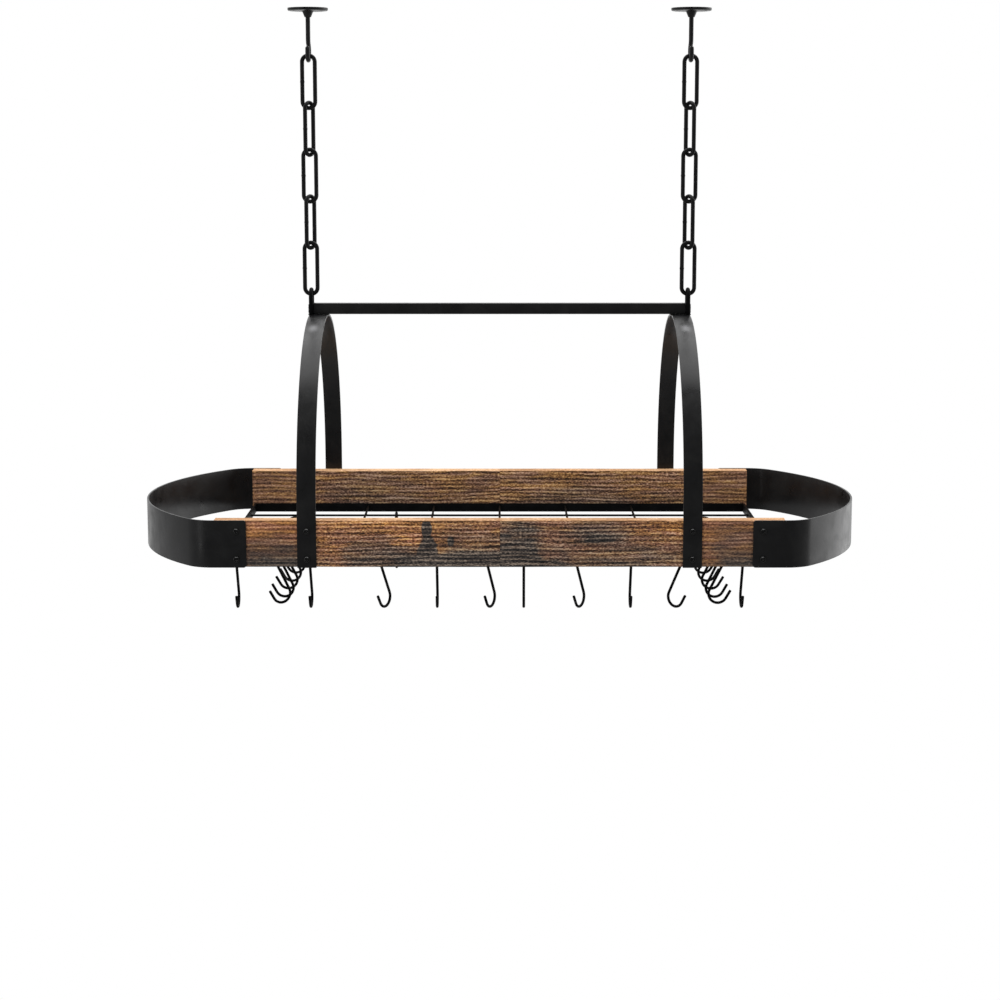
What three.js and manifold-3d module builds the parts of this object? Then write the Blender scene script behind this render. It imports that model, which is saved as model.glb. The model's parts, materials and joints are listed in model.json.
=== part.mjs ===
// Oval hanging pot rack: two wooden side boards joined by bent steel end straps, a wire grid between the
// boards, two steel arches that carry a top bar, and two chains from the bar's eyes to hooks on the ceiling.
// Millimetres, +Z up, +X along the boards, -Y to the front. The origin is on the ceiling, midway between
// the two hooks.

import * as THREE from 'three';
import { mergeVertices } from 'three/addons/utils/BufferGeometryUtils.js';
import Module from 'manifold-3d';

const wasm = await Module();
wasm.setup();

// ---------------------------------------------------------------- sizes
const seatGap = 0.3; // between pieces that rest on each other

const boardLength = 596;
const boardHeight = 50;
const boardThickness = 18.4;
const boardEdgeRound = 1.5;
const rackWidth = 383.4; // over the outer faces of the boards

const strapThickness = 2;
const strapOverlap = 34; // how far a strap reaches in over the end of a board
const strapRunOut = 1.2; // how far it runs straight past the board's end before it bends
const strapBowRadius = 278; // the shallow bow across the end
const strapCornerRadius = 35.5; // the tighter bend at each corner
const strapTipRound = 3;

const archInset = 97; // from the end of a board to the middle of the band
const archWidth = 20;
const archThickness = 2.5;
const archSpring = 62; // height of the straight feet
const archRise = 250.5; // top of the arch over the lower edge of the boards

const barSize = 12; // square bar
const barOverhang = 0.3; // past the outer edges of the arches

const eyeWire = 4.6;
const eyeClearHeight = 12.7; // from the bar up to the underside of the eye

const linkCount = 5;
const linkPitch = 50.8;
const linkWire = 4.6;
const linkWidth = 18.5; // outside
const linkTwist = 56; // degrees that every second link is turned about the chain

const hookPlateDiameter = 44;
const hookPlateThickness = 3;
const hookPlateBevel = 1;
const hookPlateHole = 4.5;
const hookPlateHoleSpacing = 30;
const hookBossDiameter = 12; // at the plate, tapering down to the wire
const hookBossShoulder = 1; // how far the taper's end stands out from the wire
const hookBossHeight = 7;
const hookWire = 5;
const hookBendRadius = 9;
const hookNeckRadius = 6;
const hookDrop = 53.3; // from the ceiling to the seat of the chain
const hookTipAngle = 155; // degrees round the bend, from the back

const gridWire = 2.5;
const gridRailHeight = 10;
const gridRailThickness = 2.5;
const gridEndSetback = 2.5; // from the ends of the boards
const gridWireHeight = 4.6; // middle of the long wires over the lower edge of the boards
const gridLongWires = 5;
const gridCrossWires = 7;
const gridEndCell = 58.8; // from the frame's end to the middle of the first cross wire
const gridPinLength = 8; // how far a cross wire's end reaches into a board
const gridWeld = 0.2; // how far crossing wires sink into each other

const sHookWire = 3;
const sHookBendRadius = 10;
const sHookBendSpacing = 44.9; // between the middles of the two bends
const sHookTipLength = 10.2;
const sHookTipAngle = -30; // degrees round the bend where the flared tip begins

const screwHeadDiameter = 7;
const screwHeadHeight = 2.2;
const screwHeadRim = 0.9; // the head's straight side, below its crown
const screwCrownDiameter = 5; // where the crown flattens
const screwCrownHeight = 1.9;
const screwShankDiameter = 3;
const screwLength = 14;
const screwPointLength = 3;
const screwInset = 10.5; // from the end of a strap
const screwHeights = [9, 38.5]; // over the lower edge of the boards

// Facets
const wireSides = 8;
const sHookSides = 6;
const gridWireSides = 6;
const plateSides = 24;
const bendStep = 24; // degrees for a step round a wire bend
const strapCornerStep = 6;
const tipStep = 22.5;
const edgeStep = 30; // round the boards' edges
const strapBowStep = 3;
const archStep = 5;
const holeSides = 8;
const screwSides = 8;

// ---------------------------------------------------------------- where the hooks hang
// Wires are numbered from 0: the long ones from the front, the cross ones from the left. A hook hangs on one
// and is set off from where another crosses it, to the right or to the back, and turned about its own height.
const hooksOnLongWires = [
  { long: 0, cross: 0, offset: -46.2, turn: 0 },
  { long: 0, cross: 0, offset: 32.9, turn: -1.5 },
  { long: 0, cross: 1, offset: 33.8, turn: -31 },
  { long: 0, cross: 2, offset: 11.5, turn: 0 },
  { long: 0, cross: 3, offset: -9.8, turn: -27 },
  { long: 0, cross: 3, offset: 26.1, turn: -0.6 },
  { long: 0, cross: 4, offset: 7.7, turn: -30 },
  { long: 0, cross: 5, offset: -16.4, turn: 0 },
  { long: 0, cross: 5, offset: 32.2, turn: 46 },
  { long: 0, cross: 6, offset: 24.8, turn: 0 },
  { long: 4, cross: 1, offset: 35.9, turn: 0 },
];
const hooksOnCrossWires = [
  { cross: 0, long: 0, offset: 10.5, turn: -62 },
  { cross: 0, long: 1, offset: -14.2, turn: -96 },
  { cross: 0, long: 2, offset: -26, turn: -86 },
  { cross: 0, long: 2, offset: 18, turn: -94 },
  { cross: 0, long: 3, offset: 10.2, turn: -88 },
  { cross: 6, long: 0, offset: 8.5, turn: 90 },
  { cross: 6, long: 1, offset: -16.2, turn: 97 },
  { cross: 6, long: 2, offset: -28, turn: 86 },
  { cross: 6, long: 2, offset: 18, turn: 93 },
  { cross: 6, long: 3, offset: 8.2, turn: 88 },
];

// ---------------------------------------------------------------- worked out from the sizes
const radians = THREE.MathUtils.degToRad;
const linkBendRadius = (linkWidth - linkWire) / 2;
const linkInner = linkPitch + crossingGap(linkBendRadius, linkWire, linkTwist); // clear length of a link
const firstLinkZ = -hookDrop + seatGap - linkInner / 2;
const lastLinkZ = firstLinkZ - (linkCount - 1) * linkPitch;
const eyeUnderside = lastLinkZ - linkInner / 2 + seatGap;
const barTop = eyeUnderside - eyeClearHeight;
const boardBottom = barTop - barSize - seatGap - archRise; // lower edge of the boards

const boardOuter = rackWidth / 2;
const boardInner = boardOuter - boardThickness;
const archSpacing = boardLength - 2 * archInset; // between the middles of the two bands
const barLength = archSpacing + archWidth + 2 * barOverhang;
const chainX = (barLength - eyeWire) / 2;
const strapEndX = boardLength / 2 - strapOverlap;
const cutMargin = 5; // how far a cutter runs on past the face that it cuts
const cutReach = boardOuter + archThickness + strapThickness + cutMargin; // past the bands on the boards
const screwHole = screwShankDiameter + 2 * seatGap;
const gridRailOuter = boardInner - seatGap;
const gridEndX = boardLength / 2 - gridEndSetback;
const gridCrossPitch = (2 * (gridEndX - gridEndCell)) / (gridCrossWires - 1);
const gridLongPitch = (2 * boardInner) / (gridLongWires + 1);
const gridWireZ = boardBottom + gridWireHeight;
const gridCrossZ = gridWireZ + gridWire - gridWeld;

function longWireY(number) {
  return (number - (gridLongWires - 1) / 2) * gridLongPitch;
}

function crossWireX(number) {
  return (number - (gridCrossWires - 1) / 2) * gridCrossPitch;
}

// ---------------------------------------------------------------- materials
const wood = new THREE.MeshStandardMaterial({ color: '#7a5439', roughness: 0.75, metalness: 0 });
const blackSteel = new THREE.MeshStandardMaterial({ color: '#242526', roughness: 0.55, metalness: 0.35 });
const blackWire = new THREE.MeshStandardMaterial({ color: '#17181a', roughness: 0.45, metalness: 0.4 });

// ---------------------------------------------------------------- tools for shapes

// Two equal wire bends that cross at less than a right angle first touch beside their middles. This finds how
// far apart the middles have to lie for the wires to stay seatGap apart everywhere.
function crossingGap(bendRadius, wire, twist) {
  const step = radians(3);
  const quarter = Math.PI / 2;
  const least = wire + seatGap;
  let gap = seatGap;
  let nearest = 0;
  while (nearest < least) {
    gap += 0.01;
    nearest = Infinity;
    for (let a = -quarter; a <= quarter; a += step) {
      const upper = new THREE.Vector3(Math.sin(a), 0, 1 - Math.cos(a)).multiplyScalar(bendRadius);
      for (let b = -quarter; b <= quarter; b += step) {
        const lower = new THREE.Vector3(Math.sin(b), 0, Math.cos(b) - 1).multiplyScalar(bendRadius);
        lower.applyAxisAngle(new THREE.Vector3(0, 0, 1), radians(twist));
        lower.z += wire + gap;
        nearest = Math.min(nearest, upper.distanceTo(lower));
      }
    }
  }
  return gap;
}

// Points round an arc from one angle to another, in degrees, both ends included.
function arcPoints(centre, radius, from, to, step) {
  const steps = Math.max(1, Math.round(Math.abs(to - from) / step));
  const points = [];
  for (let i = 0; i <= steps; i += 1) {
    const angle = radians(from + ((to - from) * i) / steps);
    points.push(new THREE.Vector2(centre.x + radius * Math.cos(angle), centre.y + radius * Math.sin(angle)));
  }
  return points;
}

// The same points with neighbours that coincide taken as one.
function joined(...runs) {
  const points = [];
  for (const point of runs.flat()) {
    const last = points.at(-1);
    if (!last || last.distanceTo(point) > 1e-6) {
      points.push(point);
    }
  }
  return points;
}

// A wire's middle line in the YZ plane, with one step of the extrusion from each point to the next.
class WirePath extends THREE.Curve {
  constructor(points) {
    super();
    this.points = points;
  }

  getPoint(t) {
    const place = t * (this.points.length - 1);
    const index = THREE.MathUtils.clamp(Math.floor(place), 0, this.points.length - 2);
    const point = this.points[index].clone().lerp(this.points[index + 1], place - index);
    return new THREE.Vector3(0, point.x, point.y);
  }

  getPointAt(u) {
    return this.getPoint(u);
  }

  getTangentAt(u) {
    return this.getTangent(u);
  }
}

// A closed path runs on past its start, so that the tangent there is the true one.
class RingPath extends WirePath {
  getPoint(t) {
    return super.getPoint(((t % 1) + 1) % 1);
  }

  getTangent(t) {
    const reach = 0.0001;
    return this.getPoint(t + reach).sub(this.getPoint(t - reach)).normalize();
  }
}

function wireGeometry(path, diameter, sides) {
  const section = new THREE.Shape(arcPoints(new THREE.Vector2(), diameter / 2, 0, 360, 360 / sides).slice(1));
  return new THREE.ExtrudeGeometry(section, { steps: path.points.length - 1, extrudePath: path });
}

// A closed ring needs no lids: the extrusion keeps its lids in group 0 and its sides in group 1.
function ringGeometry(path, diameter, sides) {
  const tube = wireGeometry(path, diameter, sides);
  const side = tube.groups.find((group) => group.materialIndex === 1);
  const values = tube.getAttribute('position').array.slice(side.start * 3, (side.start + side.count) * 3);
  const ring = new THREE.BufferGeometry();
  ring.setAttribute('position', new THREE.BufferAttribute(values, 3));
  const closed = mergeVertices(ring, 1e-3);
  closed.computeVertexNormals();
  return closed;
}

// Shapes drawn in (y, z) and pushed along X, centred on X = 0.
function extrudeAlongX(shape, length) {
  const geometry = new THREE.ExtrudeGeometry(shape, { depth: length, bevelEnabled: false });
  geometry.translate(0, 0, -length / 2);
  const turn = new THREE.Matrix4();
  turn.makeBasis(new THREE.Vector3(0, 1, 0), new THREE.Vector3(0, 0, 1), new THREE.Vector3(1, 0, 0));
  return geometry.applyMatrix4(turn);
}

function toSolid(geometry) {
  const bare = new THREE.BufferGeometry();
  bare.setAttribute('position', geometry.getAttribute('position'));
  bare.setIndex(geometry.getIndex());
  const merged = mergeVertices(bare, 1e-4);
  const mesh = new wasm.Mesh({
    numProp: 3,
    vertProperties: Float32Array.from(merged.getAttribute('position').array),
    triVerts: Uint32Array.from(merged.getIndex().array),
  });
  return new wasm.Manifold(mesh);
}

function toGeometry(solid) {
  const mesh = solid.getMesh();
  const geometry = new THREE.BufferGeometry();
  geometry.setAttribute('position', new THREE.BufferAttribute(mesh.vertProperties, 3));
  geometry.setIndex(new THREE.BufferAttribute(mesh.triVerts, 1));
  geometry.computeVertexNormals();
  return geometry;
}

// A round bar along Y between two places, as a solid for a boolean.
function barAlongY(x, z, fromY, toY, diameter, sides) {
  const bar = new THREE.CylinderGeometry(diameter / 2, diameter / 2, Math.abs(toY - fromY), sides);
  bar.translate(x, (fromY + toY) / 2, z);
  return toSolid(bar);
}

function barAlongX(y, z, fromX, toX, diameter, sides) {
  const bar = new THREE.CylinderGeometry(diameter / 2, diameter / 2, Math.abs(toX - fromX), sides);
  bar.rotateZ(Math.PI / 2);
  bar.translate((fromX + toX) / 2, y, z);
  return toSolid(bar);
}

function boxSolid(sizeX, sizeY, sizeZ, x, y, z) {
  const box = new THREE.BoxGeometry(sizeX, sizeY, sizeZ);
  box.translate(x, y, z);
  return toSolid(box);
}

const rack = new THREE.Group();

function addPiece(parent, name, geometry, material) {
  const mesh = new THREE.Mesh(geometry, material.clone());
  mesh.name = name;
  parent.add(mesh);
  return mesh;
}

// ---------------------------------------------------------------- screws
// One column of two screws holds each strap end and each arch foot to its board.
const screwColumns = [
  { name: 'strap_left', x: -(strapEndX + screwInset), plate: strapThickness },
  { name: 'arch_left', x: -archSpacing / 2, plate: archThickness },
  { name: 'arch_right', x: archSpacing / 2, plate: archThickness },
  { name: 'strap_right', x: strapEndX + screwInset, plate: strapThickness },
];
const faces = [
  { name: 'front', side: -1 },
  { name: 'back', side: 1 },
];

function screwGeometry() {
  const headRadius = screwHeadDiameter / 2;
  const shankRadius = screwShankDiameter / 2;
  const profile = [
    new THREE.Vector2(0, -screwLength),
    new THREE.Vector2(shankRadius, -screwLength + screwPointLength),
    new THREE.Vector2(shankRadius, 0),
    new THREE.Vector2(headRadius, 0),
    new THREE.Vector2(headRadius, screwHeadRim),
    new THREE.Vector2(screwCrownDiameter / 2, screwCrownHeight),
    new THREE.Vector2(0, screwHeadHeight),
  ];
  return new THREE.LatheGeometry(profile, screwSides);
}

function addScrews() {
  for (const face of faces) {
    for (const column of screwColumns) {
      screwHeights.forEach((height, row) => {
        const name = `screw_${column.name}_${face.name}_${row === 0 ? 'lower' : 'upper'}`;
        const screw = addPiece(rack, name, screwGeometry(), blackWire);
        const headSeat = boardOuter + seatGap + column.plate + seatGap;
        screw.position.set(column.x, face.side * headSeat, boardBottom + height);
        screw.rotation.x = face.side > 0 ? 0 : Math.PI;
      });
    }
  }
}

// A clearance hole for every screw of some columns, from one Y to another.
function screwHoles(columns, fromY, toY) {
  const holes = [];
  for (const column of columns) {
    for (const height of screwHeights) {
      holes.push(barAlongY(column.x, boardBottom + height, fromY, toY, screwHole, holeSides));
    }
  }
  return holes;
}

// ---------------------------------------------------------------- boards
function boardGeometry(side) {
  const round = boardEdgeRound;
  const low = boardInner;
  const high = boardOuter;
  const top = boardBottom + boardHeight;
  const corners = joined(
    arcPoints(new THREE.Vector2(high - round, boardBottom + round), round, -90, 0, edgeStep),
    arcPoints(new THREE.Vector2(high - round, top - round), round, 0, 90, edgeStep),
    arcPoints(new THREE.Vector2(low + round, top - round), round, 90, 180, edgeStep),
    arcPoints(new THREE.Vector2(low + round, boardBottom + round), round, 180, 270, edgeStep),
  );
  let board = toSolid(extrudeAlongX(new THREE.Shape(corners), boardLength));
  for (const column of screwColumns) {
    const depth = screwLength - column.plate; // ends two seatGaps past the screw's point
    for (const hole of screwHoles([column], boardOuter - depth, boardOuter + cutMargin)) {
      board = board.subtract(hole);
    }
  }
  const pinHole = gridWire + 2 * seatGap;
  const pinEnd = boardInner + gridPinLength + seatGap;
  for (let i = 0; i < gridCrossWires; i += 1) {
    const start = boardInner - cutMargin;
    board = board.subtract(barAlongY(crossWireX(i), gridCrossZ, start, pinEnd, pinHole, holeSides));
  }
  const geometry = toGeometry(board);
  return side > 0 ? geometry : geometry.rotateZ(Math.PI);
}

// ---------------------------------------------------------------- end straps
// The plan of one face of the strap, from the front end round to the back end, inset from the outer face.
function strapFace(inset) {
  const outer = boardOuter + seatGap + strapThickness;
  const cornerX = boardLength / 2 + strapRunOut;
  const cornerY = outer - strapCornerRadius;
  const reach = strapBowRadius - strapCornerRadius;
  const bowCentre = new THREE.Vector2(cornerX - Math.sqrt(reach * reach - cornerY * cornerY), 0);
  const turn = THREE.MathUtils.radToDeg(Math.asin(cornerY / reach));
  const corner = strapCornerRadius - inset;
  return joined(
    [new THREE.Vector2(strapEndX, -(outer - inset))],
    arcPoints(new THREE.Vector2(cornerX, -cornerY), corner, -90, -turn, strapCornerStep),
    arcPoints(bowCentre, strapBowRadius - inset, -turn, turn, strapBowStep),
    arcPoints(new THREE.Vector2(cornerX, cornerY), corner, turn, 90, strapCornerStep),
    [new THREE.Vector2(strapEndX, outer - inset)],
  );
}

// What rounding a corner of a strap's tip takes away: drawn in (x, z) with the corner at the origin, and
// pushed along Y through both of the strap's ends.
function tipCutter(z, upper) {
  const outline = [
    new THREE.Vector2(-cutMargin, -cutMargin),
    new THREE.Vector2(strapTipRound, -cutMargin),
    ...arcPoints(new THREE.Vector2(strapTipRound, strapTipRound), strapTipRound, 270, 180, tipStep),
    new THREE.Vector2(-cutMargin, strapTipRound),
  ];
  const depth = 2 * cutReach;
  const cutter = new THREE.ExtrudeGeometry(new THREE.Shape(outline), { depth, bevelEnabled: false });
  cutter.translate(0, 0, -cutReach);
  cutter.rotateX(upper ? -Math.PI / 2 : Math.PI / 2);
  cutter.translate(strapEndX, 0, z);
  return toSolid(cutter);
}

function strapGeometry(side) {
  const outline = new THREE.Shape([...strapFace(0), ...strapFace(strapThickness).reverse()]);
  const plan = new THREE.ExtrudeGeometry(outline, { depth: boardHeight, bevelEnabled: false });
  plan.translate(0, 0, boardBottom);
  let strap = toSolid(plan);
  strap = strap.subtract(tipCutter(boardBottom, false));
  strap = strap.subtract(tipCutter(boardBottom + boardHeight, true));
  const column = screwColumns.find((each) => each.name === 'strap_right');
  for (const hole of screwHoles([column], -cutReach, cutReach)) {
    strap = strap.subtract(hole);
  }
  const geometry = toGeometry(strap);
  return side > 0 ? geometry : geometry.rotateZ(Math.PI);
}

// ---------------------------------------------------------------- arches
// One face of the band, in (y, z) from the front foot over to the back foot: straight feet, half an ellipse.
function archFace(inset) {
  const halfWidth = boardOuter + seatGap + archThickness - inset;
  const height = archRise - archSpring - inset;
  const points = [new THREE.Vector2(-halfWidth, boardBottom)];
  for (let angle = 180; angle >= 0; angle -= archStep) {
    const y = halfWidth * Math.cos(radians(angle));
    const z = boardBottom + archSpring + height * Math.sin(radians(angle));
    points.push(new THREE.Vector2(y, z));
  }
  points.push(new THREE.Vector2(halfWidth, boardBottom));
  return points;
}

function archGeometry(x) {
  const outline = new THREE.Shape([...archFace(0), ...archFace(archThickness).reverse()]);
  let arch = toSolid(extrudeAlongX(outline, archWidth).translate(x, 0, 0));
  for (const hole of screwHoles([{ x }], -cutReach, cutReach)) {
    arch = arch.subtract(hole);
  }
  return toGeometry(arch);
}

// ---------------------------------------------------------------- top bar and its eyes
function barGeometry() {
  return new THREE.BoxGeometry(barLength, barSize, barSize).translate(0, 0, barTop - barSize / 2);
}

// An upturned U over the end of the bar, whose legs are welded to the bar's front and back.
function eyeGeometry() {
  const radius = (barSize + eyeWire) / 2 + seatGap;
  const centre = new THREE.Vector2(0, eyeUnderside + eyeWire / 2 - radius);
  const legFoot = barTop - barSize;
  const points = joined(
    [new THREE.Vector2(-radius, legFoot)],
    arcPoints(centre, radius, 180, 90, bendStep),
    arcPoints(centre, radius, 90, 0, bendStep),
    [new THREE.Vector2(radius, legFoot)],
  );
  return wireGeometry(new WirePath(points), eyeWire, wireSides);
}

// ---------------------------------------------------------------- chain
function linkGeometry() {
  const straight = linkInner / 2 + linkWire / 2 - linkBendRadius;
  const top = new THREE.Vector2(0, straight);
  const bottom = new THREE.Vector2(0, -straight);
  const points = joined(
    arcPoints(top, linkBendRadius, 0, 90, bendStep),
    arcPoints(top, linkBendRadius, 90, 180, bendStep),
    arcPoints(bottom, linkBendRadius, 180, 270, bendStep),
    arcPoints(bottom, linkBendRadius, 270, 360, bendStep),
    [new THREE.Vector2(linkBendRadius, straight)],
  );
  return ringGeometry(new RingPath(points), linkWire, wireSides);
}

function addChain(name, side) {
  for (let i = 0; i < linkCount; i += 1) {
    const link = addPiece(rack, `${name}_link_${i + 1}`, linkGeometry(), blackWire);
    const turned = i % 2 === 1 ? -side * linkTwist : 0; // its outboard wire then lies to the front
    link.position.set(side * chainX, 0, firstLinkZ - i * linkPitch);
    link.rotation.z = radians(90 + turned);
  }
}

// ---------------------------------------------------------------- ceiling hooks
function ceilingHookGeometry() {
  const bend = new THREE.Vector2(0, -hookDrop - hookWire / 2 + hookBendRadius);
  const between = hookBendRadius + hookNeckRadius;
  const neckRise = Math.sqrt(between * between - hookNeckRadius * hookNeckRadius);
  const neck = new THREE.Vector2(hookNeckRadius, bend.y + neckRise);
  const join = THREE.MathUtils.radToDeg(Math.atan2(neckRise, hookNeckRadius));
  const points = joined(
    [new THREE.Vector2(0, -hookPlateThickness / 2)],
    arcPoints(neck, hookNeckRadius, 180, 180 + join, bendStep),
    arcPoints(bend, hookBendRadius, join, -90, bendStep),
    arcPoints(bend, hookBendRadius, -90, hookTipAngle - 360, bendStep),
  );
  let fitting = toSolid(wireGeometry(new WirePath(points), hookWire, wireSides));
  const plateRadius = hookPlateDiameter / 2;
  const bossRadius = hookBossDiameter / 2;
  const profile = [
    new THREE.Vector2(0, -hookPlateThickness - hookBossHeight),
    new THREE.Vector2(hookWire / 2 + hookBossShoulder, -hookPlateThickness - hookBossHeight),
    new THREE.Vector2(bossRadius, -hookPlateThickness),
    new THREE.Vector2(plateRadius - hookPlateBevel, -hookPlateThickness),
    new THREE.Vector2(plateRadius, -hookPlateThickness + hookPlateBevel),
    new THREE.Vector2(plateRadius, 0),
    new THREE.Vector2(0, 0),
  ];
  const plate = new THREE.LatheGeometry(profile, plateSides).rotateX(Math.PI / 2);
  fitting = fitting.add(toSolid(plate));
  const holeLength = 2 * (hookPlateThickness + cutMargin);
  for (const side of [-1, 1]) {
    const hole = new THREE.CylinderGeometry(hookPlateHole / 2, hookPlateHole / 2, holeLength, holeSides);
    hole.rotateX(Math.PI / 2);
    hole.translate((side * hookPlateHoleSpacing) / 2, 0, 0);
    fitting = fitting.subtract(toSolid(hole));
  }
  return toGeometry(fitting);
}

// ---------------------------------------------------------------- grid
// A flat frame with long wires between its ends and cross wires over them. The cross wires run on through the
// rails as pins, which seat in holes in the boards.
function gridGeometry() {
  const railY = gridRailOuter - gridRailThickness / 2;
  const railZ = boardBottom + gridRailHeight / 2;
  const endX = gridEndX - gridRailThickness / 2;
  let grid = boxSolid(2 * gridEndX, gridRailThickness, gridRailHeight, 0, -railY, railZ);
  grid = grid.add(boxSolid(2 * gridEndX, gridRailThickness, gridRailHeight, 0, railY, railZ));
  grid = grid.add(boxSolid(gridRailThickness, 2 * railY, gridRailHeight, -endX, 0, railZ));
  grid = grid.add(boxSolid(gridRailThickness, 2 * railY, gridRailHeight, endX, 0, railZ));
  for (let i = 0; i < gridLongWires; i += 1) {
    grid = grid.add(barAlongX(longWireY(i), gridWireZ, -endX, endX, gridWire, gridWireSides));
  }
  const pinEnd = boardInner + gridPinLength;
  for (let i = 0; i < gridCrossWires; i += 1) {
    grid = grid.add(barAlongY(crossWireX(i), gridCrossZ, -pinEnd, pinEnd, gridWire, gridWireSides));
  }
  return toGeometry(grid);
}

// ---------------------------------------------------------------- S-hooks
// Drawn about the middle of the wire that it hangs on. The two bends lie one over the other and the shank
// runs from the front of the upper bend to the back of the lower one, so the weight hangs under the wire.
function sHookGeometry() {
  const half = sHookBendSpacing / 2;
  const lean = THREE.MathUtils.radToDeg(Math.asin(sHookBendRadius / half));
  const drop = sHookBendRadius - sHookWire / 2 - seatGap - gridWire / 2;
  const upper = new THREE.Vector2(0, -drop);
  const lower = new THREE.Vector2(0, -drop - sHookBendSpacing);
  const tip = radians(sHookTipAngle);
  const reach = new THREE.Vector2(
    sHookBendRadius * Math.cos(tip) - sHookTipLength * Math.sin(tip),
    sHookBendRadius * Math.sin(tip) + sHookTipLength * Math.cos(tip),
  );
  const points = joined(
    [new THREE.Vector2(reach.x, upper.y - reach.y)],
    arcPoints(upper, sHookBendRadius, -sHookTipAngle, 90, bendStep),
    arcPoints(upper, sHookBendRadius, 90, 180 + lean, bendStep),
    arcPoints(lower, sHookBendRadius, lean, -90, bendStep),
    arcPoints(lower, sHookBendRadius, -90, -180 - sHookTipAngle, bendStep),
    [new THREE.Vector2(-reach.x, lower.y + reach.y)],
  );
  return wireGeometry(new WirePath(points), sHookWire, sHookSides);
}

function addHooks() {
  const places = [];
  for (const { long, cross, offset, turn } of hooksOnLongWires) {
    places.push({ x: crossWireX(cross) + offset, y: longWireY(long), z: gridWireZ, turn });
  }
  for (const { long, cross, offset, turn } of hooksOnCrossWires) {
    places.push({ x: crossWireX(cross), y: longWireY(long) + offset, z: gridCrossZ, turn });
  }
  places.forEach((place, i) => {
    const hook = addPiece(rack, `s_hook_${String(i + 1).padStart(2, '0')}`, sHookGeometry(), blackWire);
    hook.position.set(place.x, place.y, place.z);
    hook.rotation.z = radians(place.turn);
  });
}

// ---------------------------------------------------------------- the whole rack
addPiece(rack, 'board_front', boardGeometry(-1), wood);
addPiece(rack, 'board_back', boardGeometry(1), wood);
addPiece(rack, 'end_strap_left', strapGeometry(-1), blackSteel);
addPiece(rack, 'end_strap_right', strapGeometry(1), blackSteel);
addPiece(rack, 'arch_left', archGeometry(-archSpacing / 2), blackSteel);
addPiece(rack, 'arch_right', archGeometry(archSpacing / 2), blackSteel);
addPiece(rack, 'top_bar', barGeometry(), blackSteel);
addPiece(rack, 'eye_left', eyeGeometry(), blackWire).position.x = -chainX;
addPiece(rack, 'eye_right', eyeGeometry(), blackWire).position.x = chainX;
addPiece(rack, 'grid', gridGeometry(), blackWire);
addPiece(rack, 'ceiling_hook_left', ceilingHookGeometry(), blackSteel).position.x = -chainX;
addPiece(rack, 'ceiling_hook_right', ceilingHookGeometry(), blackSteel).position.x = chainX;
addChain('chain_left', -1);
addChain('chain_right', 1);
addScrews();
addHooks();

export default rack;
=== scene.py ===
import bpy
import json
import math
from mathutils import Matrix, Vector

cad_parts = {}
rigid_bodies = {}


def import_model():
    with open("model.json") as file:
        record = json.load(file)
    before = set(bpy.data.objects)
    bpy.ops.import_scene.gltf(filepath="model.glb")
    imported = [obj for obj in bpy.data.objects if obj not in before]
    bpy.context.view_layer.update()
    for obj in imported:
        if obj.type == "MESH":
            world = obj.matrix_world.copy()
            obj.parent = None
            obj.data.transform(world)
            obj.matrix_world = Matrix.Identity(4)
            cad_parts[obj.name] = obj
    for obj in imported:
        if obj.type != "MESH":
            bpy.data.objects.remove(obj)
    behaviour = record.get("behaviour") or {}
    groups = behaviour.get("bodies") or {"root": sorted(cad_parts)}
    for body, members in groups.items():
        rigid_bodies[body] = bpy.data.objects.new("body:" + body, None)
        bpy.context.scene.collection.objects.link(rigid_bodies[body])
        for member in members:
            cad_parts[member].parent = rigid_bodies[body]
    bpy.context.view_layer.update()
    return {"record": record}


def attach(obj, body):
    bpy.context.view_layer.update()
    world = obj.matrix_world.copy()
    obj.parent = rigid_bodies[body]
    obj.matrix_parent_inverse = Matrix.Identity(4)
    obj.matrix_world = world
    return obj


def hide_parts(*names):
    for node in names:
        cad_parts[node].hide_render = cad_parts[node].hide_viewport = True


# Oval hanging pot rack. Lengths are written in millimetres and turned to metres by mm().
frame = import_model()
bodyOf = {node: body for body, nodes in frame["record"]["behaviour"]["bodies"].items() for node in nodes}
nearly = 1e-5  # metres: how far a point may lie off a plane that it is picked by


def mm(*values):
    metres = [value / 1000 for value in values]
    return metres[0] if len(metres) == 1 else Vector(metres)


def deselectAll():
    if bpy.context.object and bpy.context.object.mode != "OBJECT":
        bpy.ops.object.mode_set(mode="OBJECT")
    bpy.ops.object.select_all(action="DESELECT")


def choose(*objects):  # the last one is the active one
    deselectAll()
    for each in objects:
        each.select_set(True)
    bpy.context.view_layer.objects.active = objects[-1]


def pick(piece, kind, test):  # in edit mode, selects only what passes a test on its middle and normal
    choose(piece)
    bpy.ops.object.mode_set(mode="EDIT")
    bpy.ops.mesh.select_mode(type=kind)
    bpy.ops.mesh.select_all(action="DESELECT")
    bpy.ops.object.mode_set(mode="OBJECT")
    mesh = piece.data
    if kind == "VERT":
        for vertex in mesh.vertices:
            vertex.select = test(vertex.co)
    elif kind == "EDGE":
        for edge in mesh.edges:
            a, b = (mesh.vertices[i].co for i in edge.vertices)
            edge.select = test((a + b) / 2, (b - a).normalized())
    else:
        for face in mesh.polygons:
            face.select = test(face.center, face.normal)
    bpy.ops.object.mode_set(mode="EDIT")


def closeShape(piece, merge=False, smoothAngle=35):
    bpy.ops.mesh.select_mode(type="VERT")
    bpy.ops.mesh.select_all(action="SELECT")
    if merge:
        bpy.ops.mesh.remove_doubles(threshold=mm(0.02))
    bpy.ops.mesh.fill_holes(sides=0)
    bpy.ops.mesh.normals_make_consistent(inside=False)
    bpy.ops.object.mode_set(mode="OBJECT")
    choose(piece)
    bpy.ops.object.shade_smooth_by_angle(angle=math.radians(smoothAngle))
    return piece


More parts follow.
